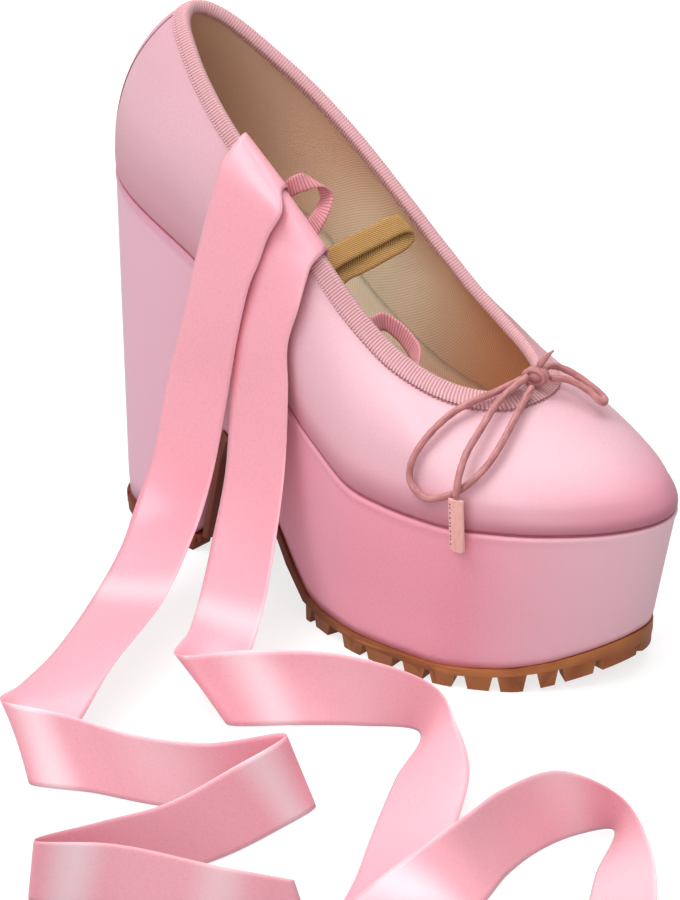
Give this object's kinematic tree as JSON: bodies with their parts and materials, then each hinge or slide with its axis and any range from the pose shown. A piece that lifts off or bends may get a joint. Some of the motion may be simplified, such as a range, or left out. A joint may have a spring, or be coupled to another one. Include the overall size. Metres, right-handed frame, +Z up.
{
  "type": "platform pump",
  "caption": "Satin platform pump cut low like a ballet slipper, with grosgrain binding, lace bow, ankle ribbons, tall wrapped platform and block heel, and a lugged rubber sole.",
  "frame": {"origin": "on the floor, under the middle of the shoe's box, measured without ribbons and bow", "axes": "+X to the toe, +Y to the wearer's left, the inner side of this right shoe, +Z up"},
  "size_m": [0.319, 0.2694, 0.1828],
  "materials": {
    "satin": "pale pink satin",
    "wrap": "pink satin wrap",
    "ribbon": "glossy satin ribbon",
    "tape": "ribbed grosgrain tape",
    "sock": "twill canvas",
    "gum": "matt gum rubber",
    "elastic": "woven elastic",
    "lace": "dusty rose lace"
  },
  "bodies": {
    "root": {"upper": "satin", "binding": "tape", "insole": "sock", "platform_unit": "wrap", "outsole": "gum", "top_lift": "gum", "elastic_loop": "elastic", "tape_loop_rear": "tape", "tape_loop_front": "tape", "ribbon_rear": "ribbon", "ribbon_front": "ribbon", "bow_knot": "lace", "bow_near_loop": "lace", "bow_far_loop": "lace", "bow_near_end": "lace", "bow_short_end": "lace", "bow_tab": "lace"}
  },
  "joints": []
}
